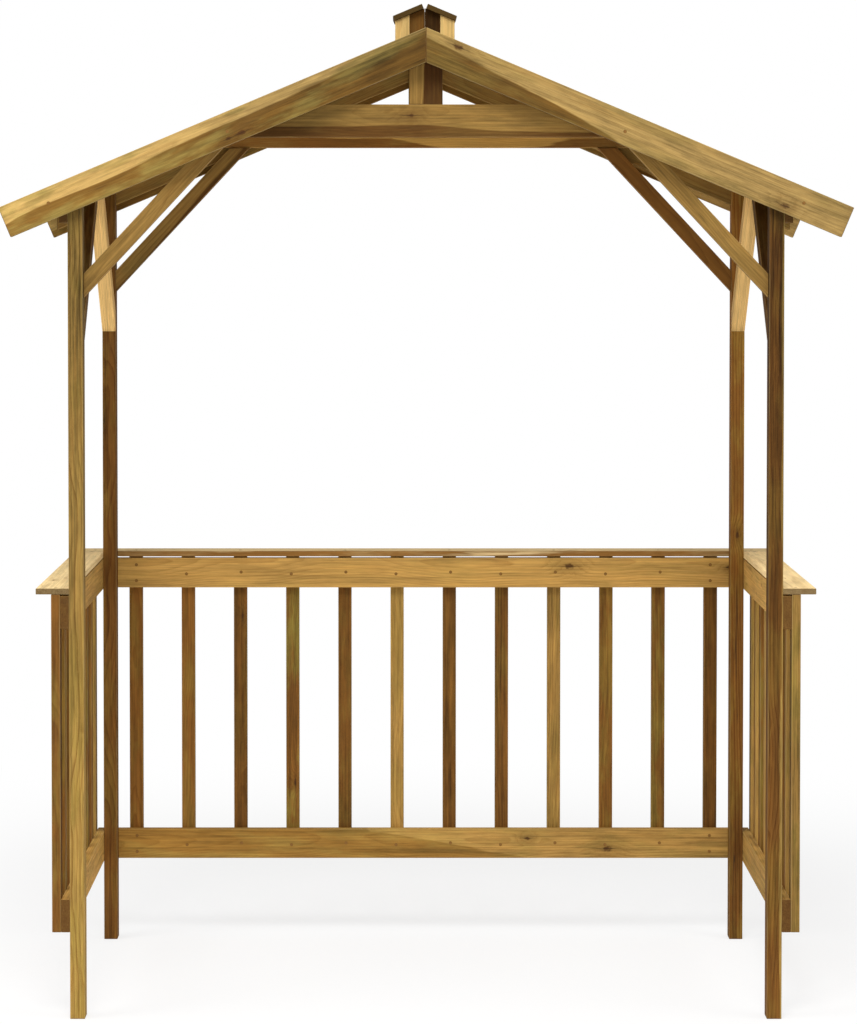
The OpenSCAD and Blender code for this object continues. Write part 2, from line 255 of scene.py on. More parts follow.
def pine_colour():
    """Lays sapwood, heartwood, rings, green treatment, knots, grime and a painted highlight along the
    arrises over each other, at a brightness that is partly painted light and shade.
    """
    masks = ("Latewood", "Year", "Knot", "Rim", "Swirl", "Fibre", "Vein", "Streak", "Mottle", "Patch",
             "Check", "Arris", "End", "Grime")
    tree, given, made = new_group(
        "pine_colour",
        {"Sapwood": stain("#B4954F"), "Heartwood": stain("#7A5528"), "Treatment": stain("#8A7D42"),
         "Knot Colour": stain("#4A2C12"), "Arris Colour": stain("#D8BC80"),
         "End Colour": stain("#5A3A18"), "Ring Depth": 0.45, "Streak Depth": 0.35,
         "Mottle Depth": 0.16, "Arris Share": 0.4, "End Share": 0.94, "Grain": (0, 0, 0),
         "Tone": (0, 1, 0), "Heart": 0.0, **dict.fromkeys(masks, 0.0)},
        {"Colour": "Color", "Roughness": "Float", "Height": "Float"})
    _, light, green = split(given["Tone"])
    across = split(given["Grain"])[1]
    edge = scaled(minus(given["Streak"], 0.5), 0.024, minus(given["Heart"], across))
    warm = times(fade(given["Streak"], 0.50, 0.68), 0.30)
    heart = reckon("MAXIMUM", fade(edge, -0.0020, 0.0030), warm)
    colour = tint(heart, given["Sapwood"], given["Heartwood"])
    colour = tint(times(given["Patch"], green), colour, given["Treatment"])
    band = times(given["Latewood"], given["Ring Depth"])
    colour = tint(band, colour, (0.40, 0.27, 0.15, 1.0), "MULTIPLY")
    streak = minus(fade(given["Streak"], 0.30, 0.70), 0.5)
    vein = minus(fade(given["Vein"], 0.33, 0.67), 0.5)
    shade = times(plus(streak, vein), given["Streak Depth"])
    shade = scaled(minus(given["Mottle"], 0.5), given["Mottle Depth"], shade)
    fine = times(minus(given["Fibre"], 0.5), 0.30)
    # The tone's light value scales the whole board's brightness: its own tone and, on many pieces,
    # painted light and shade.
    level = scaled(given["Year"], 0.06, plus(plus(shade, fine), light))
    grey = put(tree, "ShaderNodeCombineColor", {0: level, 1: level, 2: level}).outputs[0]
    colour = tint(1.0, colour, grey, "MULTIPLY")
    soaked = times(times(given["End"], given["End Share"]), scaled(given["Fibre"], 0.5, 0.66))
    # The arris mask lays a painted highlight along the edges.
    for amount, over in ((times(given["Swirl"], 0.30), given["Knot Colour"]),
                         (times(given["Knot"], 0.85), given["Knot Colour"]),
                         (times(given["Rim"], 0.6), (0.02, 0.012, 0.006, 1)),
                         (times(given["Arris"], given["Arris Share"]), given["Arris Colour"]),
                         (soaked, given["End Colour"]),
                         (times(given["Grime"], 0.16), (0.05, 0.035, 0.018, 1)),
                         (times(given["Check"], 0.8), (0.03, 0.018, 0.009, 1))):
        colour = tint(amount, colour, over)
    rough = scaled(given["Knot"], -0.16, scaled(given["Fibre"], 0.22, 0.66))
    height = scaled(given["Latewood"], 0.35, given["Fibre"])
    height = scaled(given["Knot"], 0.5, height)
    height = scaled(given["Check"], -2.5, height)
    give(made, colour, rough, height)
    return tree


knots, rings, surface, colouring = branch_knots(), growth_rings(), sawn_surface(), pine_colour()


def bare_finish(name):
    """A new material with an empty tree."""
    finish = bpy.data.materials.new(name)
    finish.use_nodes = True
    finish.node_tree.nodes.clear()
    return finish, finish.node_tree


def pine(name, ring_width=0.0045, knot_share=0.22, checks=0.5, **palette):
    """A pine finish: the shared effects of wood with this piece's own colours. Each
    board carries attributes for its grain, its half size, its tone (seed, light and
    green, where light is partly painted light and shade), its heartwood line and one knot."""
    finish, tree = bare_finish(name)
    read = {label: put(tree, "ShaderNodeAttribute", attribute_name=label).outputs
            for label in ("grain", "half", "tone", "heart", "knot")}
    grain, half, tone = read["grain"]["Vector"], read["half"]["Vector"], read["tone"]["Vector"]
    seed = split(tone)[0]
    shift = put(tree, "ShaderNodeVectorMath", {0: (7.3, 3.1, 5.7), "Scale": seed}, operation="SCALE")
    moved = put(tree, "ShaderNodeVectorMath", {0: grain, 1: shift.outputs[0]}, operation="ADD")

    def placed(group, feeds):
        return put(tree, "ShaderNodeGroup", feeds, node_tree=group).outputs

    knot = placed(knots, {"Grain": grain, "Half": half, "Placed": read["knot"]["Vector"],
                          "Seed": seed, "Share": knot_share})
    ring = placed(rings, {"Grain": grain, "Seed": seed, "Swirl": knot["Swirl"],
                          "Ring Width": ring_width})
    skin = placed(surface, {"Grain": grain, "Half": half, "Figure": moved.outputs[0],
                            "Checks": checks})
    feeds = {"Grain": grain, "Tone": tone, "Heart": read["heart"]["Fac"]}
    feeds.update({socket.name: socket for masks in (knot, ring, skin) for socket in masks})
    for label, value in palette.items():
        feeds[label.replace("_", " ").title()] = stain(value) if isinstance(value, str) else value
    wood = placed(colouring, feeds)
    relief = put(tree, "ShaderNodeBump",
                 {"Height": wood["Height"], "Strength": 0.35, "Distance": 0.0006})
    shader = put(tree, "ShaderNodeBsdfPrincipled", {
        "Base Color": wood["Colour"], "Roughness": wood["Roughness"], "Normal": relief.outputs[0],
        "Specular IOR Level": 0.10})
    put(tree, "ShaderNodeOutputMaterial", {"Surface": shader.outputs[0]})
    return finish


def plain_mesh(piece):
    """Leaves on a piece the mesh that its modifiers make, and nothing else."""
    graph = bpy.context.evaluated_depsgraph_get()
    made = bpy.data.meshes.new_from_object(piece.evaluated_get(graph))
    old = piece.data
    piece.modifiers.clear()
    piece.data = made
    bpy.data.meshes.remove(old)
    made.name = piece.name


def ease_arrises(piece, radius):
    """Takes the sharpness off a piece's edges, as the planer leaves them."""
    bevel = piece.modifiers.new("eased_arrises", "BEVEL")
    bevel.width, bevel.segments = radius, 2
    bevel.limit_method, bevel.angle_limit = "ANGLE", math.radians(25)


def set_in_place(piece, timber, *nodes):
    """Puts a finished piece on the frame, for the nodes that it stands for."""
    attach(piece, "root")
    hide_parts(*nodes)


def heart_height(stops, share):
    """Where the heartwood stops above the lower edge, at a share of the length."""
    before = [stop for stop in stops if stop[0] <= share] or stops[:1]
    after = [stop for stop in stops if stop[0] > share] or stops[-1:]
    (start, height), (end, other) = before[-1], after[0]
    return height + (other - height) * ((share - start) / (end - start) if end > start else 0.0)


STATION = 0.04              # a board's mesh has a ring of points about every 40 mm
ALL_HEARTWOOD, NO_HEARTWOOD = [(0, 0.9)], [(0, -1.0)]


def cut_timber(name, foot, head, finish, seed, light=1.0, green=0.5, heart=NO_HEARTWOOD,
               knot=(0, 0, 0), crown=0.0, arris=0.0014, lanes=(0.0, 0.5, 1.0), layers=(0.0, 1.0),
               marks=(), notch=None):
    """One board between two ends, each given as near lower, near upper, far lower
    and far upper corner. Seed picks its grain, and light scales its brightness, one
    value or one for each end: partly the board's own tone and partly painted light
    and shade as it fell on the piece. Green is how strong the treatment shows, and
    heart is where the heartwood stops above the lower edge (share of the length,
    metres). Knot is one branch's place along and across from the middle and its
    radius. Crown points the head. Marks, lanes and layers are the cuts along, up and
    through the board, as shares, and notch(share, lane, layer) says which parts are
    cut away."""
    foot, head = [Vector(p) for p in foot], [Vector(p) for p in head]
    middle = [sum(end, Vector()) / 4 for end in (foot, head)]
    centre, run = (middle[0] + middle[1]) / 2, middle[1] - middle[0]
    length, run = run.length, run.normalized()
    deep = (foot[2] + foot[3] - foot[0] - foot[1] + head[2] + head[3] - head[0] - head[1]) / 4
    deep -= run * deep.dot(run)
    rise = run.cross(deep).normalized()
    if rise.dot(foot[1] - foot[0]) < 0:
        rise.negate()
    width = abs(rise.dot(foot[1] - foot[0]) + rise.dot(head[1] - head[0])) / 2
    shades = light if isinstance(light, tuple) else (light, light)
    steps = max(2, round(length / STATION))
    even = [i / steps for i in range(steps + 1)]
    even = [share for share in even if all(abs(share - mark) * length > STATION / 10 for mark in marks)]
    cuts = (sorted(even + list(marks)), lanes, layers)
    shell = bmesh.new()
    grain = shell.verts.layers.float_vector.new("grain")
    tone = shell.verts.layers.float_vector.new("tone")
    edge = shell.verts.layers.float.new("heart")
    corners = {}

    def corner(*at):
        if at not in corners:
            u, v, w = (cut[i] for cut, i in zip(cuts, at))
            near = foot[0].lerp(head[0], u).lerp(foot[1].lerp(head[1], u), v)
            far = foot[2].lerp(head[2], u).lerp(foot[3].lerp(head[3], u), v)
            spot = near.lerp(far, w) + run * crown * u * (1 - abs(2 * v - 1))
            point = shell.verts.new(spot)
            point[grain] = ((u - 0.5) * length, (spot - centre).dot(rise), (w - 0.5) * deep.length)
            point[tone] = (seed, shades[0] + (shades[1] - shades[0]) * u, green)
            point[edge] = heart_height(heart, u) - width / 2
            corners[at] = point
        return corners[at]

    kept = set()
    for cell in itertools.product(*(range(len(cut) - 1) for cut in cuts)):
        core = [(cut[i] + cut[i + 1]) / 2 for cut, i in zip(cuts, cell)]
        if not (notch and notch(*core)):
            kept.add(cell)
    for cell in kept:
        for axis, step in itertools.product(range(3), (0, 1)):
            beside = list(cell)
            beside[axis] += 2 * step - 1
            if tuple(beside) in kept:
                continue
            ring = []
            for turn in ([0, 0], [1, 0], [1, 1], [0, 1]):
                turn.insert(axis, step)
                ring.append(corner(*(i + t for i, t in zip(cell, turn))))
            shell.faces.new(ring)
    bmesh.ops.recalc_face_normals(shell, faces=shell.faces)
    piece = bpy.data.objects.new(name, bpy.data.meshes.new(name))
    shell.to_mesh(piece.data)
    shell.free()
    for label, value in (("half", [length / 2, width / 2, deep.length / 2]), ("knot", list(knot))):
        layer = piece.data.attributes.new(label, "FLOAT_VECTOR", "POINT")
        layer.data.foreach_set("vector", value * len(piece.data.vertices))
    piece.data.materials.append(finish)
    bpy.context.scene.collection.objects.link(piece)
    ease_arrises(piece, arris)
    plain_mesh(piece)
    return piece


def push(corners, by):
    """The corners of a board's near face, and the same ones on its far face."""
    return [Vector(c) for c in corners] + [Vector(c) + Vector(by) for c in corners]


def gable_board(node, foot, head, finish, timber, name=None, depth=None, **looks):
    """A board with its face in the gable's plane. Each end is given as its lower and
    upper corner (x, z), and the board is as deep from front to back as its node."""
    front, back = depth or [corner.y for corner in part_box(node)]
    ends = [push([(x, front, z) for x, z in end], (0, back - front, 0)) for end in (foot, head)]
    set_in_place(cut_timber(name or "timber_" + node, *ends, finish, **looks), timber, node)


post_finish = pine("pine_posts", sapwood="#A58444", heartwood="#704A1E", treatment="#8E7A34",
                   ring_depth=0.95, streak_depth=0.36, arris_share=0.20, checks=0.9,
                   ring_width=0.0055, knot_share=0.0, mottle_depth=0.24)
# Light runs from foot to head and paints light and shade over each post's own tone: the front posts
# darken towards the roof's shade at the top, and the back right one grows lighter towards its top.
POST_LOOKS = {
    "post_front_left": dict(seed=1.37, light=(1.24, 0.36), green=0.40),
    "post_front_right": dict(seed=4.81, light=(1.12, 0.32), green=0.20, heart=[(0, 0.030), (1, 0.031)]),
    "post_back_left": dict(seed=7.23, light=(1.13, 0.95), green=0.25, heart=ALL_HEARTWOOD),
    "post_back_right": dict(seed=9.64, light=(0.86, 2.05), green=0.30, heart=ALL_HEARTWOOD,
                            knot=(0.08, 0.0, 0.0042)),
}
RAFTER_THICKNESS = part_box("rafter_front_left")[1].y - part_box("rafter_front_left")[0].y
for node, looks in POST_LOOKS.items():
    lo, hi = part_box(node)
    inner, outer = (hi.x, lo.x) if node.endswith("left") else (lo.x, hi.x)
    outer_top = roof_height(outer, PLANK_THICKNESS)
    housing = roof_height(outer, RAFTER_UNDER) / outer_top
    at_back = "back" in node
    lap = RAFTER_THICKNESS / (hi.y - lo.y)
    lap = 1 - lap if at_back else lap
    gable_board(node, [(inner, 0), (outer, 0)], [(inner, hi.z), (outer, outer_top)], post_finish,
                "post_timber", layers=(0.0, lap, 1.0), marks=(housing,),
                notch=lambda u, v, w: u > housing and (w > lap) == at_back, **looks)


# ---------------------------------------------------------------- Counter rails
# Flat rails join the posts low down and at counter height. They are planed boards,
# screwed to the posts' outer faces, and they carry the slats on their own outer side.

rail_finish = pine("pine_rails", sapwood="#B88F4C", heartwood="#946D31", treatment="#9A8442",
                   end_colour="#4A2A0E", ring_depth=0.45, streak_depth=0.34, arris_share=0.25,
                   knot_share=0.12, mottle_depth=0.22)


def square_board(node, finish, along, **looks):
    """A square-cut board that fills its node's box, with its length along x or y."""
    lo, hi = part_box(node)
    upward, aside = Vector((0, 0, hi.z - lo.z)), Vector((0, 0, 0))
    aside[1 - along] = hi[1 - along] - lo[1 - along]
    rise, deep = (upward, aside) if upward.length > aside.length else (aside, upward)
    stop = Vector(lo)
    stop[along] = hi[along]
    foot, head = push([lo, lo + rise], deep), push([stop, stop + rise], deep)
    return cut_timber("timber_" + node, foot, head, finish, **looks)


RAIL_LOOKS = {
    "rail_top_back": dict(along=0, seed=2.17, light=1.10, green=0.18, knot=(0.385, 0.017, 0.0056)),
    "rail_bottom_back": dict(along=0, seed=3.61, light=(1.16, 0.74), green=0.40,
                             knot=(0.485, -0.014, 0.0062),
                             heart=[(0, 0.9), (0.25, 0.9), (0.4, 0.078), (0.6, 0.02), (0.75, -0.02)]),
    "rail_top_left": dict(along=1, seed=5.29, light=1.00, green=0.30),
    "rail_top_right": dict(along=1, seed=6.43, light=1.25, green=0.30),
    "rail_bottom_left": dict(along=1, seed=8.77, light=1.18, green=0.35),
    "rail_bottom_right": dict(along=1, seed=2.93, light=0.90, green=0.35),
}
for node, looks in RAIL_LOOKS.items():
    set_in_place(square_board(node, rail_finish, **looks), "rail_timber", node)


# Screw heads in these rails and elsewhere: countersunk, with a cross recess, each
# turned as the driver left it, in a small dark ring. The ring is crushed wood and
# painted shade of the countersunk seat, and the recess is painted dark for its shade.

def screw_heads():
    """Puts a screw head on each point, facing the way that the point says."""
    tree, given, made = new_group(
        "screw_heads", {"Spots": "Geometry", "Head Radius": 0.0028, "Seat Radius": 0.0042, "Seed": 11,
                        "Steel": "Material", "Recess": "Material"},
        {"Screws": "Geometry"}, "GeometryNodeTree")

    def raised(shape, height):
        return put(tree, "GeometryNodeTransform",
                   {"Geometry": shape.outputs["Mesh"], "Translation": (0, 0, height)}).outputs[0]

    def disc(radius, thickness):
        return raised(put(tree, "GeometryNodeMeshCylinder",
                          {"Vertices": 12, "Radius": radius, "Depth": thickness}), -0.00015)

    def bar(size):
        return raised(put(tree, "GeometryNodeMeshCube", {"Size": size}), 0.00018)

    def joined(*parts):
        node = put(tree, "GeometryNodeJoinGeometry")
        for part in parts:
            tree.links.new(part, node.inputs[0])
        return node.outputs[0]

    cross, slot, thin = 0.0034, 0.0008, 0.0001
    # Seat ring and cross recess take the dark finish: painted shade, with crushed wood in the ring.
    dark = joined(disc(given["Seat Radius"], 0.0004), bar((cross, slot, thin)), bar((slot, cross, thin)))
    dark = put(tree, "GeometryNodeStoreNamedAttribute",
               {"Geometry": dark, "Name": "recess", "Value": True},
               data_type="BOOLEAN", domain="FACE").outputs[0]
    screw = joined(disc(given["Head Radius"], 0.0006), dark)
    facing = put(tree, "GeometryNodeInputNamedAttribute", {"Name": "facing"}, data_type="FLOAT_VECTOR")
    turned = put(tree, "FunctionNodeAlignRotationToVector", {"Vector": facing.outputs[0]}, axis="Z")
    spin = put(tree, "FunctionNodeRandomValue", {3: math.pi, "Seed": given["Seed"]}, data_type="FLOAT")
    spin = put(tree, "ShaderNodeCombineXYZ", {"Z": spin.outputs[1]}).outputs[0]
    spin = put(tree, "FunctionNodeEulerToRotation", {0: spin}).outputs[0]
    turned = put(tree, "FunctionNodeRotateRotation", {0: turned.outputs[0], 1: spin},
                 rotation_space="LOCAL").outputs[0]
    placed = put(tree, "GeometryNodeInstanceOnPoints",
                 {"Points": given["Spots"], "Instance": screw, "Rotation": turned})
    real = put(tree, "GeometryNodeRealizeInstances", {0: placed.outputs[0]}).outputs[0]
    real = put(tree, "GeometryNodeSetMaterial", {0: real, "Material": given["Steel"]}).outputs[0]
    is_dark = put(tree, "GeometryNodeInputNamedAttribute", {"Name": "recess"}, data_type="BOOLEAN")
    real = put(tree, "GeometryNodeSetMaterial", {0: real, "Selection": is_dark.outputs[0],
                                                 "Material": given["Recess"]}).outputs[0]
    give(made, real)
    return tree


def screw_finish(name, colour, spotted, metallic, roughness):
    """Plated steel in one colour, with spots of another where it has weathered. The same
    makes the dark seat and recess finish, painted shade with crushed wood in the seat.
    """
    finish, tree = bare_finish(name)
    where = put(tree, "ShaderNodeTexCoord").outputs["Object"]
    spots = fade(figure(where, (700, 700, 700), 3.0), 0.42, 0.62)
    shader = put(tree, "ShaderNodeBsdfPrincipled", {
        "Base Color": tint(spots, stain(colour), stain(spotted)),
        "Roughness": scaled(spots, 0.25, roughness), "Metallic": metallic})
    put(tree, "ShaderNodeOutputMaterial", {"Surface": shader.outputs[0]})
    return finish


screw_tree = screw_heads()
screw_steel = screw_finish("screw_steel", "#946428", "#74501A", 0.1, 0.7)
screw_crushed_wood_and_shade = screw_finish("screw_crushed_wood_and_shade", "#6E4A16", "#7E5820", 0.0, 0.8)


def build_on_points(name, tree, places, told, values):
    """A piece that a tree builds on points. Each point is told its own values, and
    the tree's inputs are set by the names of their sockets."""
    mesh = bpy.data.meshes.new(name)
    mesh.from_pydata(places, [], [])
    for label, each in told.items():
        if isinstance(each[0], tuple):
            layer = mesh.attributes.new(label, "FLOAT_VECTOR", "POINT")
            layer.data.foreach_set("vector", list(itertools.chain(*each)))
        else:
            mesh.attributes.new(label, "FLOAT", "POINT").data.foreach_set("value", each)
    piece = bpy.data.objects.new(name, mesh)
    bpy.context.scene.collection.objects.link(piece)
    modifier = piece.modifiers.new(tree.name, "NODES")
    modifier.node_group = tree
    for item in tree.interface.items_tree:
        if item.in_out == "INPUT" and item.name in values:
            modifier[item.identifier] = values[item.name]
            if isinstance(values[item.name], bpy.types.Material):
                mesh.materials.append(values[item.name])
    return piece


def drive_screws(name, spots, seed):
    """Screw heads at the given spots, each a place and the way that it faces."""
    places, ways = zip(*spots)
    piece = build_on_points(name, screw_tree, places, {"facing": ways},
                            {"Seed": seed, "Steel": screw_steel, "Recess": screw_crushed_wood_and_shade})
    plain_mesh(piece)
    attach(piece, "root")


SLATS_AT_BACK, SLATS_AT_SIDE, SLAT_WIDTH = 12, 9, 0.035


def slat_places(node, along, count):
    """The middle of each slat of one wall, along x or y."""
    lo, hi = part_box(node)
    pitch = (hi[along] - lo[along] - SLAT_WIDTH) / (count - 1)
    return [lo[along] + SLAT_WIDTH / 2 + i * pitch for i in range(count)]


# An end slat has a screw near each edge of the rail. The others have one each, a
# little off the middle by turns (shares of the rail's height, play along it). The
# rail itself has two at each post.
END_SLAT_SCREW, SLAT_SCREWS, SCREW_PLAY = 0.018, (0.52, 0.46), 0.003
POST_SCREW_IN, POST_SCREW = 0.035, 0.020
spots = []
for node in ("rail_top_back", "rail_bottom_back"):
    lo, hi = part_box(node)
    tall = hi.z - lo.z
    for i, x in enumerate(slat_places("slats_back", 0, SLATS_AT_BACK)):
        at_end = i in (0, SLATS_AT_BACK - 1)
        rises = (END_SLAT_SCREW, tall - END_SLAT_SCREW) if at_end else (tall * SLAT_SCREWS[i % 2],)
        spots += [((x + SCREW_PLAY * (-1) ** i, lo.y, lo.z + rise), (0, -1, 0)) for rise in rises]
    for x in (lo.x + POST_SCREW_IN, hi.x - POST_SCREW_IN):
        spots += [((x, hi.y, lo.z + rise), (0, 1, 0)) for rise in (POST_SCREW, tall - POST_SCREW)]
drive_screws("screws_rails_back", spots, 21)
SIDE_SCREWS, SIDE_PLAY = (0.022, 0.056), 0.004      # up the side rails by turns, and along them
for side, way in (("left", 1), ("right", -1)):
    spots = []
    for node in ("rail_top_" + side, "rail_bottom_" + side):
        lo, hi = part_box(node)
        face = hi.x if side == "left" else lo.x
        for i, y in enumerate(slat_places("slats_" + side, 1, SLATS_AT_SIDE)[1:-1]):
            spots.append(((face, y + SIDE_PLAY * (-1) ** i, lo.z + SIDE_SCREWS[i % 2]), (way, 0, 0)))
    drive_screws("screws_rails_" + side, spots, 22)


# ---------------------------------------------------------------- Slats
# Upright slats close the counter's back and sides below the top rail. Each is one
# planed batten cut to length and screwed through the rails, no two quite alike.

slat_finish = pine("pine_slats", sapwood="#A07C40", heartwood="#724C1F", treatment="#7E6E30",
                   ring_depth=0.55, streak_depth=0.40, arris_share=0.25, ring_width=0.0038,
                   knot_share=0.08, mottle_depth=0.32)


def row_of_boards():
    """Sets one board on each point: a block with its own grain, turned as asked."""
    tree, given, made = new_group(
        "row_of_boards", {"Places": "Geometry", "Board Size": "Vector", "Turn": "Vector",
                          "Stations": 21, "Finish": "Material"},
        {"Boards": "Geometry"}, "GeometryNodeTree")
    block = put(tree, "GeometryNodeMeshCube",
                {"Size": given["Board Size"], "Vertices X": given["Stations"]}).outputs["Mesh"]
    where = put(tree, "GeometryNodeInputPosition").outputs[0]
    half = put(tree, "ShaderNodeVectorMath", {0: given["Board Size"], 1: (0.5, 0.5, 0.5)},
               operation="MULTIPLY").outputs[0]
    for label, value in (("grain", where), ("half", half)):
        block = put(tree, "GeometryNodeStoreNamedAttribute",
                    {"Geometry": block, "Name": label, "Value": value},
                    data_type="FLOAT_VECTOR", domain="POINT").outputs[0]
    turned = put(tree, "FunctionNodeEulerToRotation", {0: given["Turn"]}).outputs[0]
    placed = put(tree, "GeometryNodeInstanceOnPoints",
                 {"Points": given["Places"], "Instance": block, "Rotation": turned})
    real = put(tree, "GeometryNodeRealizeInstances", {0: placed.outputs[0]}).outputs[0]
    give(made, put(tree, "GeometryNodeSetMaterial", {0: real, "Material": given["Finish"]}).outputs[0])
    return tree


board_tree = row_of_boards()


def lay_boards(name, places, looks, size, turn, finish, stations, arris=0.0014):
    """A row of boards as one piece; looks gives each its seed, light, green and heart."""
    told = {"tone": [look[:3] for look in looks], "heart": [look[3] for look in looks]}
    piece = build_on_points(name, board_tree, places, told,
                            {"Board Size": size, "Turn": turn, "Stations": stations, "Finish": finish})
    ease_arrises(piece, arris)
    plain_mesh(piece)
    return piece


SAP, ALL_HEART = -0.2, 0.2      # the heartwood's edge, far below or above a board's middle
BACK_SLATS = [
    (1.2, 1.28, 0.3, ALL_HEART), (2.5, 1.45, 0.3, ALL_HEART), (3.7, 0.82, 0.2, ALL_HEART),
    (4.9, 1.10, 0.9, ALL_HEART), (5.4, 0.94, 0.3, ALL_HEART), (6.6, 1.12, 0.3, SAP),
    (7.1, 0.92, 0.1, ALL_HEART), (8.3, 0.94, 0.3, ALL_HEART), (9.7, 0.94, 0.3, SAP),
    (10.5, 1.18, 0.4, ALL_HEART), (11.8, 1.02, 0.6, ALL_HEART), (12.4, 0.92, 0.2, ALL_HEART),
]
SIDE_LIGHTS = (1.14, 1.05, 1.2, 1.1, 1.24, 1.15, 1.18, 1.1)
SIDE_GREENS = (0.4, 0.3, 0.5, 0.3, 0.4, 0.6, 0.3, 0.4)
SIDE_HEARTS = (0.004, ALL_HEART, SAP, 0.008, SAP, ALL_HEART, 0.002, SAP)
SLAT_STATIONS, UPRIGHT = 21, math.radians(-90)
lo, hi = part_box("slats_back")
middle = (lo + hi) / 2
places = [(x, middle.y, middle.z) for x in slat_places("slats_back", 0, SLATS_AT_BACK)]
slats = lay_boards("timber_slats_back", places, BACK_SLATS, (hi.z - lo.z, SLAT_WIDTH, hi.y - lo.y),
                   (0, UPRIGHT, math.radians(-90)), slat_finish, SLAT_STATIONS)
set_in_place(slats, "slat_timber", "slats_back")
for side, turn, first_seed, nearest in (("left", 0, 14.3, (1.08, 0.4, ALL_HEART)),
                                        ("right", 180, 27.9, (0.86, 0.6, SAP))):
    lo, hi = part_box("slats_" + side)
    middle = (lo + hi) / 2
    places = [(middle.x, y, middle.z) for y in slat_places("slats_" + side, 1, SLATS_AT_SIDE)]
    looks = [nearest] + list(zip(SIDE_LIGHTS, SIDE_GREENS, SIDE_HEARTS))
    looks = [(first_seed + i * 1.37,) + look for i, look in enumerate(looks)]
    slats = lay_boards("timber_slats_" + side, places, looks, (hi.z - lo.z, SLAT_WIDTH, hi.x - lo.x),
                       (0, UPRIGHT, math.radians(turn)), slat_finish, SLAT_STATIONS)
    set_in_place(slats, "slat_timber", "slats_" + side)


# ---------------------------------------------------------------- Counter shelves
# A pale board caps each wall of slats as a serving shelf. The back one runs full
# width, the side ones butt against it, and all are screwed down into the slats.

shelf_finish = pine("pine_shelves", sapwood="#EED29A", heartwood="#8E6430", treatment="#DCC48A",
                    end_colour="#4E3614", knot_colour="#8A5E2C", ring_depth=0.30,
                    streak_depth=0.18, arris_share=0.10, knot_share=0.15)
SHELF_LOOKS = {
    "shelf_left": dict(along=1, seed=13.1, light=1.0, green=0.2),
    "shelf_right": dict(along=1, seed=15.8, light=1.20, green=0.2),
    "shelf_back": dict(along=0, seed=17.3, light=0.98, green=0.2, heart=[(0, 0.004)]),
}
SHELF_END_SCREW = 0.05
for node, looks in SHELF_LOOKS.items():
    set_in_place(square_board(node, shelf_finish, **looks), "shelf_timber", node)
    lo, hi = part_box(node)
    below = node.replace("shelf", "slats")
    middle = sum(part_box(below), Vector()) / 2
    if looks["along"] == 0:
        places = slat_places(below, 0, SLATS_AT_BACK)[::2]
        places += [lo.x + SHELF_END_SCREW, hi.x - SHELF_END_SCREW]
        spots = [((x, middle.y, hi.z), (0, 0, 1)) for x in places]
    else:
        spots = [((middle.x, y, hi.z), (0, 0, 1)) for y in slat_places(below, 1, SLATS_AT_SIDE)[::2]]
    drive_screws("screws_" + node, spots, 23)


# ---------------------------------------------------------------- Eave beams
# A board runs along the outside of each pair of posts right under the roof planks,
# planed to their slope on top and housed for the rafters at both ends.

frame_finish = pine("pine_frame", sapwood="#96743B", heartwood="#60401A", treatment="#86723C",
                    arris_colour="#C8A060", end_colour="#43280F", ring_depth=0.50,
                    streak_depth=0.24, arris_share=0.40, knot_share=0.1, mottle_depth=0.24)
for side, sign in (("left", -1), ("right", 1)):
    node = "eave_beam_" + side
    lo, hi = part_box(node)
    inner, outer = (hi.x, lo.x) if side == "left" else (lo.x, hi.x)
    outer_top = roof_height(outer, PLANK_THICKNESS)
    ends = [[(outer, y, lo.z), (outer, y, outer_top), (inner, y, lo.z), (inner, y, hi.z)]
            for y in (lo.y, hi.y)]
    lap = RAFTER_THICKNESS / (hi.y - lo.y)
    share = (roof_height(outer, RAFTER_UNDER) - lo.z) / (outer_top - lo.z)
    beam = cut_timber("timber_" + node, *ends, frame_finish, seed=19.4 + sign, light=0.96, green=0.5,
                      marks=(lap, 1 - lap), lanes=(0.0, share, 1.0),
                      notch=lambda u, v, w: abs(u - 0.5) > 0.5 - lap and v > share)
    set_in_place(beam, "frame_timber", node)


# ---------------------------------------------------------------- Side braces
# Short braces stiffen the frame from front to back, from each post up to the roof
# planks. They stand at 45 degrees, are cut plumb at the foot, and lap the eave beam.

BRACE_DEPTH = 0.038
pale_lit_brace_finish = pine("pine_braces_pale_and_lit", sapwood="#E8C07A", heartwood="#B88444", treatment="#C8A468",
                   ring_depth=0.85, streak_depth=0.26, arris_share=0.15, knot_share=0.1,
                   ring_width=0.0036)
# The back pair is pale wood brightened as painted light on the lower faces that catch it; the front pair
# is all heartwood at a lower light, partly painted shade.
SIDE_BRACE_LOOKS = {
    "side_brace_front_left": dict(finish=frame_finish, seed=20.3, light=0.86, green=0.4,
                                  heart=ALL_HEARTWOOD),
    "side_brace_front_right": dict(finish=frame_finish, seed=21.6, light=0.80, green=0.3,
                                   heart=ALL_HEARTWOOD),
    "side_brace_back_left": dict(finish=pale_lit_brace_finish, seed=22.2, light=1.05, green=0.2),
    "side_brace_back_right": dict(finish=pale_lit_brace_finish, seed=23.9, light=1.0, green=0.3),
}
side_brace_plumb = BRACE_DEPTH / math.cos(math.radians(45))
for node, looks in SIDE_BRACE_LOOKS.items():
    lo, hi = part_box(node)
    foot_y, way = (lo.y, 1) if "front" in node else (hi.y, -1)
    foot = push([(lo.x, foot_y, lo.z), (lo.x, foot_y, lo.z + side_brace_plumb)], (hi.x - lo.x, 0, 0))
    head = []
    for corner in foot:
        top = roof_height(corner.x, PLANK_THICKNESS)
        head.append((corner.x, foot_y + way * (top - corner.z), top))
    set_in_place(cut_timber("timber_" + node, foot, head, **looks), "frame_timber", node)


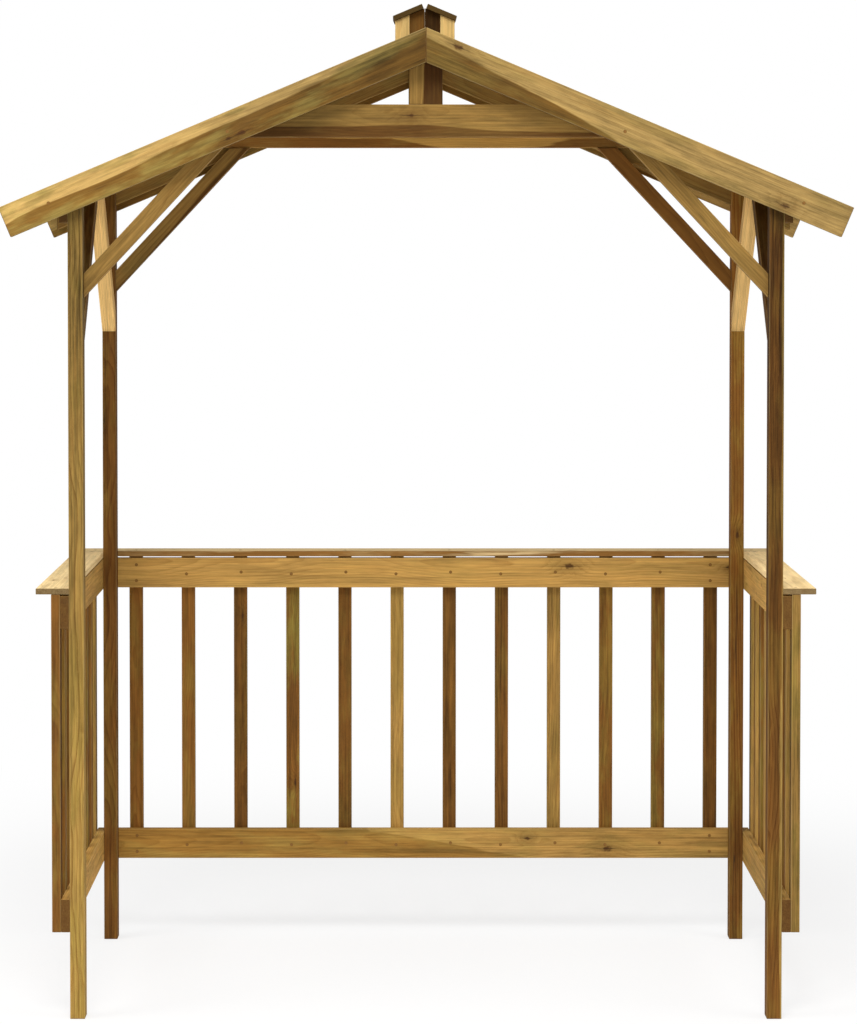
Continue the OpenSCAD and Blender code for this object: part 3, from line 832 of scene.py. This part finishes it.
# ---------------------------------------------------------------- Rafters
# Two pairs of rafters lie in the posts' housings and meet at the ridge in a plumb
# mitre. Their tails run out past the posts and are cut plumb, just short of the eave.

RAFTER_LOOKS = {
    "rafter_front_left": dict(seed=24.5, light=1.35, green=0.5, heart=[(0, 0.010), (1, 0.020)]),
    "rafter_front_right": dict(seed=25.1, light=1.15, green=0.4, heart=[(0, 0.018), (1, 0.008)]),
    "rafter_back_left": dict(seed=26.8, light=0.98, green=0.6),
    "rafter_back_right": dict(seed=27.2, light=0.98, green=0.5),
}
for node, looks in RAFTER_LOOKS.items():
    lo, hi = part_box(node)
    tail, ridge = ([(x, roof_height(x, depth)) for depth in (RAFTER_UNDER, PLANK_THICKNESS)]
                   for x in (lo.x if node.endswith("left") else hi.x, 0))
    gable_board(node, tail, ridge, frame_finish, "frame_timber", **looks)


# ---------------------------------------------------------------- Collar ties and king posts
# In each gable a collar tie crosses the rafters on the room side, and a short king
# post stands on it, pointed into the ridge. Both are thin boards, screwed on flat.

# Light runs from the left end to the right. The back tie is brightened far above the rest as painted
# light against the front gable's shade, and given a pale band along its upper edge that widens to the
# right; the front tie is darker towards its left end.
COLLAR_LOOKS = {
    "collar_tie_front": dict(seed=28.4, light=(0.70, 1.04), green=0.15, knot=(-0.038, 0.013, 0.0046),
                             heart=[(0.33, 0.028), (0.49, 0.030), (0.55, 0.026), (0.675, 0.012)]),
    "collar_tie_back": dict(seed=29.7, light=(2.3, 1.8), green=0.2,
                            heart=[(0, 0.025), (0.42, 0.0235), (0.53, 0.002), (0.70, -0.002),
                                   (0.80, 0.010), (0.86, 0.026), (1, 0.030)]),
}
for node, looks in COLLAR_LOOKS.items():
    lo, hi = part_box(node)
    top_reach = hi.x - (hi.z - lo.z) / math.tan(ROOF_PITCH)
    gable_board(node, [(lo.x, lo.z), (-top_reach, hi.z)], [(hi.x, lo.z), (top_reach, hi.z)],
                frame_finish, "frame_timber", **looks)

# The front king post's darker right-hand part, in this dark heartwood colour, is painted shade.
king_finish = pine("pine_king_posts", sapwood="#96743B", heartwood="#4C2C0C", treatment="#86723C",
                   arris_colour="#B08A4E", end_colour="#43280F", ring_depth=0.50,
                   streak_depth=0.24, arris_share=0.30, knot_share=0.0)
KING_LOOKS = {
    "king_post_front": dict(seed=30.9, light=0.92, green=0.1, heart=[(0, 0.046), (1, 0.042)]),
    "king_post_back": dict(seed=31.5, light=0.80, green=0.5, heart=ALL_HEARTWOOD),
}
for node, looks in KING_LOOKS.items():
    lo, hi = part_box(node)
    shoulder = roof_height(hi.x, PLANK_THICKNESS)
    gable_board(node, [(hi.x, lo.z), (lo.x, lo.z)], [(hi.x, shoulder), (lo.x, shoulder)],
                king_finish, "frame_timber", crown=hi.z - shoulder, **looks)

# Screws in from a collar tie's end and up from its lower edge, and the one through
# the king post's foot on either side, out from the middle and up from the tie.
COLLAR_SCREWS, KING_SCREW = ((0.085, 0.022), (0.130, 0.048)), (0.020, 0.03)
spots = []
for node, way in (("collar_tie_front", 1), ("collar_tie_back", -1)):
    lo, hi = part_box(node)
    face = hi.y if way > 0 else lo.y
    for sign in (-1, 1):
        spots += [((sign * (hi.x - run), face, lo.z + rise), (0, way, 0)) for run, rise in COLLAR_SCREWS]
        spots.append(((sign * KING_SCREW[0], face, hi.z + KING_SCREW[1]), (0, way, 0)))
drive_screws("screws_collar_ties", spots, 24)


# ---------------------------------------------------------------- Cross braces
# Long braces run from the posts up to the collar ties in the front and back frames,
# a little steeper than forty-five degrees. They lap the rafters on the room side.

BRACE_ANGLE = math.radians(47)
cross_brace_plumb = BRACE_DEPTH / math.cos(BRACE_ANGLE)
CROSS_BRACE_LOOKS = {
    "cross_brace_front_left": dict(seed=32.6, light=(0.78, 0.98), green=0.2),
    "cross_brace_front_right": dict(seed=33.8, light=(0.88, 0.92), green=0.3),
    "cross_brace_back_left": dict(seed=34.1, light=0.96, green=0.5, heart=[(0, 0.008), (1, 0.012)]),
    "cross_brace_back_right": dict(seed=35.7, light=1.80, green=0.1, heart=ALL_HEARTWOOD),
}
for node, looks in CROSS_BRACE_LOOKS.items():
    lo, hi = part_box(node)
    sign = -1 if node.endswith("left") else 1
    at_post = sign * max(abs(lo.x), abs(hi.x))
    lower = at_post - sign * (hi.z - lo.z) / math.tan(BRACE_ANGLE)
    upper = lower + sign * cross_brace_plumb / math.tan(BRACE_ANGLE)
    gable_board(node, [(at_post, lo.z), (at_post, lo.z + cross_brace_plumb)],
                [(lower, hi.z), (upper, hi.z)], frame_finish, "frame_timber", **looks)


# ---------------------------------------------------------------- Roof planks
# Thin planks run from front to back over the rafters, twelve to a slope, edge to
# edge with eased arrises. Those at the ridge are cut round the smoke opening.

EAVE_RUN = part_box("bargeboard_front_right")[1].x / math.cos(ROOF_PITCH)


def slope_spot(sign, run, depth, peak=RIDGE_HEIGHT):
    """Where a point lies (x, z), run down one roof slope and depth below its face."""
    return (sign * (run * math.cos(ROOF_PITCH) - depth * math.sin(ROOF_PITCH)),
            peak - run * math.sin(ROOF_PITCH) - depth * math.cos(ROOF_PITCH))


roof_finish = pine("pine_roof_planks", sapwood="#9C7C46", heartwood="#7A5A30", treatment="#86794A",
                   end_colour="#5A4628", ring_depth=0.45, streak_depth=0.34, arris_share=0.2)
PLANKS, PLANK_SEAM, PLANK_ARRIS, PLANK_STATIONS = 12, 0.0006, 0.0018, 24
PLANK_HEARTS = (SAP, 0.02, SAP, ALL_HEART, -0.01)
PLANK_SCREW_IN, PLANK_SCREWS = 0.0225, (0.24, 0.76)
SMOKE_HALF = 0.038
plank_pitch = EAVE_RUN / PLANKS
lo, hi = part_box("roof_boards_right")
deck_depth = hi.y - lo.y
for side, sign in (("left", -1), ("right", 1)):
    node = "roof_boards_" + side
    looks = [(40.3 + sign * 5 + i * 1.61, 0.92 + 0.05 * ((i * 7) % 5), 0.3 + 0.1 * ((i * 3) % 4),
              PLANK_HEARTS[(i * 2 + sign) % 5]) for i in range(1, PLANKS)]
    middles = [slope_spot(sign, (i + 0.5) * plank_pitch, PLANK_THICKNESS / 2) for i in range(1, PLANKS)]
    planks = lay_boards("timber_" + node, [(x, (lo.y + hi.y) / 2, z) for x, z in middles], looks,
                        (deck_depth, plank_pitch - PLANK_SEAM, PLANK_THICKNESS),
                        (sign * ROOF_PITCH, 0, math.radians(90)), roof_finish, PLANK_STATIONS,
                        PLANK_ARRIS)
    set_in_place(planks, "roof_timber", node)
    section = []
    for depth in (0, PLANK_THICKNESS):
        section += [slope_spot(sign, plank_pitch - PLANK_SEAM / 2, depth), (0, roof_height(0, depth))]
    foot, head = ([(x, y, z) for x, z in section] for y in (lo.y, hi.y))
    opening = SMOKE_HALF / deck_depth
    reach = 1 - SMOKE_HALF / math.cos(ROOF_PITCH) / plank_pitch
    ridge = cut_timber("timber_ridge_plank_" + side, foot, head, roof_finish, seed=52.7 + sign,
                       light=0.95, green=0.5, lanes=(0.0, reach / 2, reach, 1.0), arris=PLANK_ARRIS,
                       marks=(0.5 - opening, 0.5 + opening),
                       notch=lambda u, v, w: abs(u - 0.5) < opening and v > reach)
    set_in_place(ridge, "roof_timber", node)
    slope_way = (sign * math.sin(ROOF_PITCH), 0, math.cos(ROOF_PITCH))
    spots = []
    for y, i in itertools.product((lo.y + PLANK_SCREW_IN, hi.y - PLANK_SCREW_IN), range(PLANKS)):
        for part in PLANK_SCREWS:
            x, z = slope_spot(sign, (i + part) * plank_pitch, 0)
            spots.append(((x, y, z), slope_way))
    drive_screws("screws_roof_" + side, spots, 25)


# ---------------------------------------------------------------- Bargeboards
# Wide boards cover the rafters and plank ends on both gables. Each is cut from the
# outside of the log, so pale sapwood runs along it above brown heartwood.

barge_finish = pine("pine_bargeboards", sapwood="#D0AB66", heartwood="#846029",
                    treatment="#9E8A48", ring_depth=0.42, streak_depth=0.17, arris_share=0.25,
                    ring_width=0.0055, knot_share=0.1, mottle_depth=0.22)
BARGEBOARD_WIDTH = 0.075
BARGE_SCREWS = ((0.522, 0.044), (0.972, 0.036))     # down the slope, below the upper edge
BARGE_LOOKS = {
    "bargeboard_front_left": dict(
        seed=60.2, light=(1.00, 0.38), green=0.75, knot=(0.03, -0.023, 0.0030),
        heart=[(0, 0.030), (0.06, 0.042), (0.24, 0.036), (0.46, 0.047), (0.7, 0.054), (1, 0.066)]),
    "bargeboard_front_right": dict(
        seed=61.4, light=(0.51, 0.56), green=0.35, knot=(0.453, 0.024, 0.0052),
        heart=[(0, -0.02), (0.5, -0.004), (0.62, 0.018), (0.85, 0.042), (1, 0.056)]),
    "bargeboard_back_left": dict(seed=62.9, light=0.85, green=0.4, heart=[(0, 0.02), (1, 0.04)]),
    "bargeboard_back_right": dict(seed=63.3, light=0.87, green=0.3, heart=[(0, -0.01), (1, 0.03)]),
}
for node, looks in BARGE_LOOKS.items():
    sign = -1 if node.endswith("left") else 1
    lo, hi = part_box(node)
    tail = [slope_spot(sign, EAVE_RUN, depth) for depth in (BARGEBOARD_WIDTH, 0)]
    ridge = [(0, roof_height(0, depth)) for depth in (BARGEBOARD_WIDTH, 0)]
    gable_board(node, tail, ridge, barge_finish, "bargeboard_timber", **looks)
    face, way = (lo.y, -1) if "front" in node else (hi.y, 1)
    places = [slope_spot(sign, run, depth) for run, depth in BARGE_SCREWS]
    drive_screws("screws_" + node, [((x, face, z), (0, way, 0)) for x, z in places], 26)


# ---------------------------------------------------------------- Chimney
# A small smoke chimney sits on the ridge: four pale studs, boards between them painted dark
# for the shade in their recess, and two cap boards that leave a slot along the top for the smoke.

chimney_finish = pine("pine_chimney_studs", sapwood="#D8B674", heartwood="#A88850",
                      treatment="#B89E60", end_colour="#5A4222", ring_depth=0.35,
                      streak_depth=0.25, knot_share=0.2)
# The panels' dark colours are painted shade in the recess between the studs, the right-hand heartwood
# darkest.
shaded_panel_finish = pine("pine_chimney_shaded_panels", sapwood="#68461A", heartwood="#351E03",
                    treatment="#5E4A24", end_colour="#3A2408", ring_depth=0.4, streak_depth=0.3,
                    arris_share=0.1, knot_share=0.0)
cap_finish = pine("pine_chimney_caps", sapwood="#6A5028", heartwood="#4C3418", treatment="#5A4C26",
                  end_colour="#4A3818", ring_depth=0.5, streak_depth=0.4, arris_share=0.3)
STUD, RECESS, PANEL, PANEL_SEAM, CHIMNEY_ARRIS = 0.035, 0.010, 0.012, 0.0005, 0.001
CAP_THICKNESS, CAP_SLOT, CAP_OVERHANG = 0.012, 0.015, 0.006
CAP_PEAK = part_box("chimney_cap_left")[1].z + CAP_SLOT / 2 * math.tan(ROOF_PITCH)


def chimney_board(name, x0, x1, y0, y1, finish, node, timber, **looks):
    """An upright board between two widths, scribed to the roof and to the cap."""
    foot = [(x, roof_height(x, 0)) for x in (x0, x1)]
    head = [(x, roof_height(x, CAP_THICKNESS, CAP_PEAK)) for x in (x0, x1)]
    gable_board(node, foot, head, finish, timber, name, (y0, y1), arris=CHIMNEY_ARRIS, **looks)


lo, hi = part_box("chimney_studs")
half, within = hi.x, hi.x - STUD
for side, sign in (("left", -1), ("right", 1)):
    for end, y0 in (("front", lo.y), ("back", hi.y - STUD)):
        chimney_board("timber_chimney_stud_%s_%s" % (end, side), sign * within, sign * half,
                      y0, y0 + STUD, chimney_finish, "chimney_studs", "chimney_timber",
                      seed=70.1 + sign + (y0 > 0), light=1.0 if sign < 0 else 1.06, green=0.3)
    for end, y0 in (("front", lo.y + RECESS), ("back", hi.y - RECESS - PANEL)):
        chimney_board("timber_chimney_panel_%s_%s" % (end, side), sign * PANEL_SEAM, sign * within,
                      y0, y0 + PANEL, shaded_panel_finish, "chimney_panels", "chimney_panel_timber",
                      seed=74.1 + sign, green=0.3, heart=NO_HEARTWOOD if sign < 0 else ALL_HEARTWOOD)
    chimney_board("timber_chimney_panel_" + side, sign * (half - RECESS - PANEL), sign * (half - RECESS),
                  lo.y + STUD, hi.y - STUD, shaded_panel_finish, "chimney_panels", "chimney_panel_timber",
                  seed=77.4 + sign, green=0.3)
    node = "chimney_cap_" + side
    runs = [width / math.cos(ROOF_PITCH) for width in (half + CAP_OVERHANG, CAP_SLOT / 2)]
    section = [slope_spot(sign, run, depth, CAP_PEAK) for depth in (CAP_THICKNESS, 0) for run in runs]
    foot, head = ([(x, end.y, z) for x, z in section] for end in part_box(node))
    cap = cut_timber("timber_" + node, foot, head, cap_finish, seed=80.6 + sign,
                     light=0.55 if sign < 0 else 1.05, green=0.5, arris=CHIMNEY_ARRIS)
    set_in_place(cap, "chimney_timber", node)


# ---------------------------------------------------------------- Studio
# A pale floor that turns to plain white away from the shelter, soft light from the
# front and above, and a camera at standing eye height in front of the shelter.

floor_mesh = bmesh.new()
bmesh.ops.create_circle(floor_mesh, cap_ends=True, segments=96, radius=30.0)
floor = bpy.data.objects.new("studio_floor", bpy.data.meshes.new("studio_floor"))
floor_mesh.to_mesh(floor.data)
floor_mesh.free()
bpy.context.scene.collection.objects.link(floor)
WHITE = (1, 1, 1, 1)
pale, tree = bare_finish("studio_floor")
where = put(tree, "ShaderNodeTexCoord").outputs["Object"]
away = put(tree, "ShaderNodeVectorMath", {0: where}, operation="LENGTH").outputs["Value"]
seen = put(tree, "ShaderNodeLightPath").outputs["Is Camera Ray"]
matt = put(tree, "ShaderNodeBsdfDiffuse", {"Color": (0.93, 0.93, 0.93, 1)}).outputs[0]
white = put(tree, "ShaderNodeEmission", {"Color": WHITE, "Strength": 1.0}).outputs[0]
far = times(scaled(fade(away, 1.3, 3.4), 0.30, 0.70), seen)
mixed = put(tree, "ShaderNodeMixShader", {0: far, 1: matt, 2: white}).outputs[0]
put(tree, "ShaderNodeOutputMaterial", {"Surface": mixed})
floor.data.materials.append(pale)

world = bpy.data.worlds.new("studio")
bpy.context.scene.world = world
world.use_nodes = True
tree = world.node_tree
tree.nodes.clear()
seen = put(tree, "ShaderNodeLightPath").outputs["Is Camera Ray"]
soft = put(tree, "ShaderNodeBackground", {"Color": WHITE, "Strength": 0.50}).outputs[0]
white = put(tree, "ShaderNodeBackground", {"Color": WHITE, "Strength": 1.0}).outputs[0]
mixed = put(tree, "ShaderNodeMixShader", {0: seen, 1: soft, 2: white}).outputs[0]
put(tree, "ShaderNodeOutputWorld", {"Surface": mixed})

LIT_POINT = Vector((0, 0, 1.1))
for name, spot, size, power in (("light_front", (-0.5, -5.2, 8.0), 4.0, 460.0),
                                ("light_left", (-5.6, -2.5, 5.5), 3.6, 140.0),
                                ("light_right", (5.6, -2.5, 5.5), 3.6, 90.0),
                                ("light_low", (0.6, -8.6, 2.0), 3.0, 60.0)):
    lamp = bpy.data.lights.new(name, "AREA")
    lamp.shape, lamp.size, lamp.energy = "DISK", size, power
    holder = bpy.data.objects.new(name, lamp)
    holder.location = spot
    holder.rotation_euler = (LIT_POINT - Vector(spot)).to_track_quat("-Z", "Y").to_euler()
    holder.visible_camera = False
    bpy.context.scene.collection.objects.link(holder)

eye = bpy.data.cameras.new("eye")
eye.sensor_width = 36.0
eye.lens = 111.0
eye.shift_x, eye.shift_y = 0.0264, -0.16
viewer = bpy.data.objects.new("eye", eye)
viewer.location = (-0.0576, -7.879, 1.835)
viewer.rotation_euler = (math.radians(90 - 1.93), 0, 0)
bpy.context.scene.collection.objects.link(viewer)
bpy.context.scene.camera = viewer
bpy.context.scene.view_settings.view_transform = "Standard"
